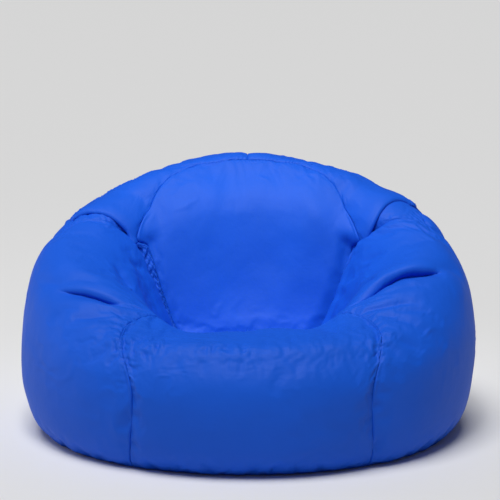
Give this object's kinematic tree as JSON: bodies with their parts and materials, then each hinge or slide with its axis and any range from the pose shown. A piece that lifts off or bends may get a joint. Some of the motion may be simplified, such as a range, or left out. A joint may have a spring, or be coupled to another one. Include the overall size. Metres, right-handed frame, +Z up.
{
  "type": "bean bag chair",
  "caption": "Round bean bag chair in woven fabric with arms, a front roll, a dished seat and a taller soft back whose sides fold over the arms.",
  "frame": {"origin": "centre of the chair's bounding box on the floor plane under its base", "axes": "+X to the chair's right arm as seen from the front (its widest direction), +Y from the front roll to the back, +Z up"},
  "size_m": [0.8988, 0.82, 0.5245],
  "materials": {
    "cover_fabric": "satin",
    "liner_fabric": "matte",
    "polystyrene_beads": "matte",
    "white_elastic": "matte",
    "zip_tape": "matte",
    "zip_coil": "satin",
    "zip_metal": "satin"
  },
  "bodies": {
    "chair": {"front_panel": "cover_fabric", "seat_panel": "cover_fabric", "inner_back_panel": "cover_fabric", "left_arm_panel": "cover_fabric", "right_arm_panel": "cover_fabric", "left_wing_panel": "cover_fabric", "right_wing_panel": "cover_fabric", "left_back_gusset": "cover_fabric", "right_back_gusset": "cover_fabric", "outer_back_left_panel": "cover_fabric", "outer_back_right_panel": "cover_fabric", "base_panel_front": "cover_fabric", "base_panel_rear": "cover_fabric", "left_back_elastic": "white_elastic", "right_back_elastic": "white_elastic", "liner_shell": "liner_fabric", "liner_base_front": "liner_fabric", "liner_base_rear": "liner_fabric", "bead_fill_front": "polystyrene_beads", "bead_fill_left_arm": "polystyrene_beads", "bead_fill_right_arm": "polystyrene_beads", "bead_fill_back": "polystyrene_beads", "bead_fill_seat": "polystyrene_beads", "cover_zip_tape_front": "zip_tape", "cover_zip_tape_rear": "zip_tape", "cover_zip_coil_front": "zip_coil", "cover_zip_coil_rear": "zip_coil", "cover_zip_stop_left": "zip_metal", "cover_zip_stop_right": "zip_metal", "liner_zip_tape_front": "zip_tape", "liner_zip_tape_rear": "zip_tape", "liner_zip_coil_front": "zip_coil", "liner_zip_coil_rear": "zip_coil", "liner_zip_stop_left": "zip_metal", "liner_zip_stop_right": "zip_metal"},
    "cover_zip_slider": {"cover_zip_slider": "zip_metal"},
    "liner_zip_slider": {"liner_zip_slider": "zip_metal"}
  },
  "joints": [
    {"name": "cover_zip_slide", "type": "slide", "parent": "chair", "child": "cover_zip_slider", "axis": [-1, 0, 0], "range_m": [0, 0.58]},
    {"name": "liner_zip_slide", "type": "slide", "parent": "chair", "child": "liner_zip_slider", "axis": [-1, 0, 0], "range_m": [0, 0.48]}
  ]
}
